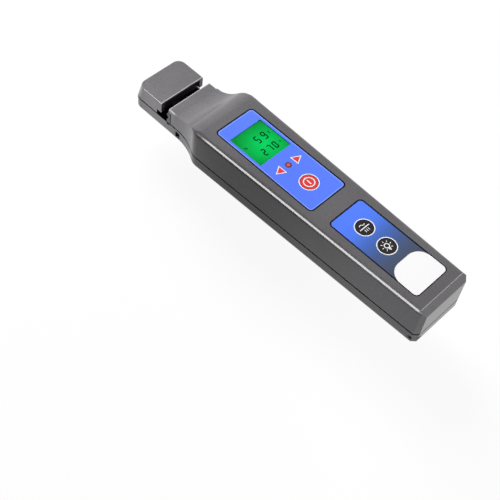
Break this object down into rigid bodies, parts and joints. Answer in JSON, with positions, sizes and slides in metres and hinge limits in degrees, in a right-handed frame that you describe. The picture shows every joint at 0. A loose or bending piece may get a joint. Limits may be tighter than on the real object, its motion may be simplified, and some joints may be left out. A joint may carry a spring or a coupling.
{
  "type": "optical fiber identifier",
  "caption": "Hand-held optical fibre identifier: tapered case with a fibre slot across its narrow head, display and keys on the front, sliding trigger and battery door on the back.",
  "frame": {"origin": "under the middle of the case, level with the lowest point of the trigger", "axes": "+X from the head to the tail, +Y to the long side without the cord eye, +Z out of the front"},
  "size_m": [0.1982, 0.0404, 0.046],
  "materials": {
    "casing": "fine texture",
    "film": "satin",
    "clear": "clear",
    "red_key": "satin",
    "black_key": "satin",
    "display": "smooth",
    "lamp": "smooth",
    "dark_plastic": "moulded",
    "board": "smooth",
    "adapter": "moulded",
    "jaw": "moulded",
    "pad": "soft",
    "diode": "clear",
    "steel": "brushed",
    "trigger": "satin",
    "black_steel": "black",
    "cell": "smooth",
    "paper": "paper"
  },
  "bodies": {
    "housing": {"front_shell": "casing", "back_shell": "casing", "tip_cover": "casing", "display_overlay": "film", "keypad_overlay": "film", "display_window": "clear", "lcd_panel": "display", "indicator_leds": "lamp", "lcd_frame": "dark_plastic", "key_switches": "dark_plastic", "sensor_block": "dark_plastic", "battery_connector": "dark_plastic", "main_board": "board", "fibre_adapter": "adapter", "photodiodes": "diode", "board_screws": "steel", "housing_screws": "black_steel", "battery": "cell", "back_label": "paper"},
    "slide": {"slide_bar": "steel", "jaw": "jaw", "jaw_pad": "pad", "trigger": "trigger", "trigger_screws": "steel", "return_spring": "steel"},
    "power_button": {"power_key": "red_key"},
    "mode_button": {"mode_key": "black_key"},
    "light_button": {"light_key": "black_key"},
    "door": {"battery_door": "casing"}
  },
  "joints": [
    {"name": "trigger_slide", "type": "slide", "parent": "housing", "child": "slide", "axis": [1, 0, 0], "range_m": [0, 0.006], "stiffness_N_per_m": 600, "springref_m": -0.005, "deforming": ["return_spring"]},
    {"name": "power_press", "type": "slide", "parent": "housing", "child": "power_button", "axis": [0, 0, -1], "range_m": [0, 0.0004], "stiffness_N_per_m": 3000, "springref_m": -0.0002},
    {"name": "mode_press", "type": "slide", "parent": "housing", "child": "mode_button", "axis": [0, 0, -1], "range_m": [0, 0.0004], "stiffness_N_per_m": 3000, "springref_m": -0.0002},
    {"name": "light_press", "type": "slide", "parent": "housing", "child": "light_button", "axis": [0, 0, -1], "range_m": [0, 0.0004], "stiffness_N_per_m": 3000, "springref_m": -0.0002},
    {"name": "door_hinge", "type": "hinge", "parent": "housing", "child": "door", "pos_m": [0.0304, 0, 0.019], "axis": [0, 1, 0], "range_deg": [0, 60]}
  ]
}
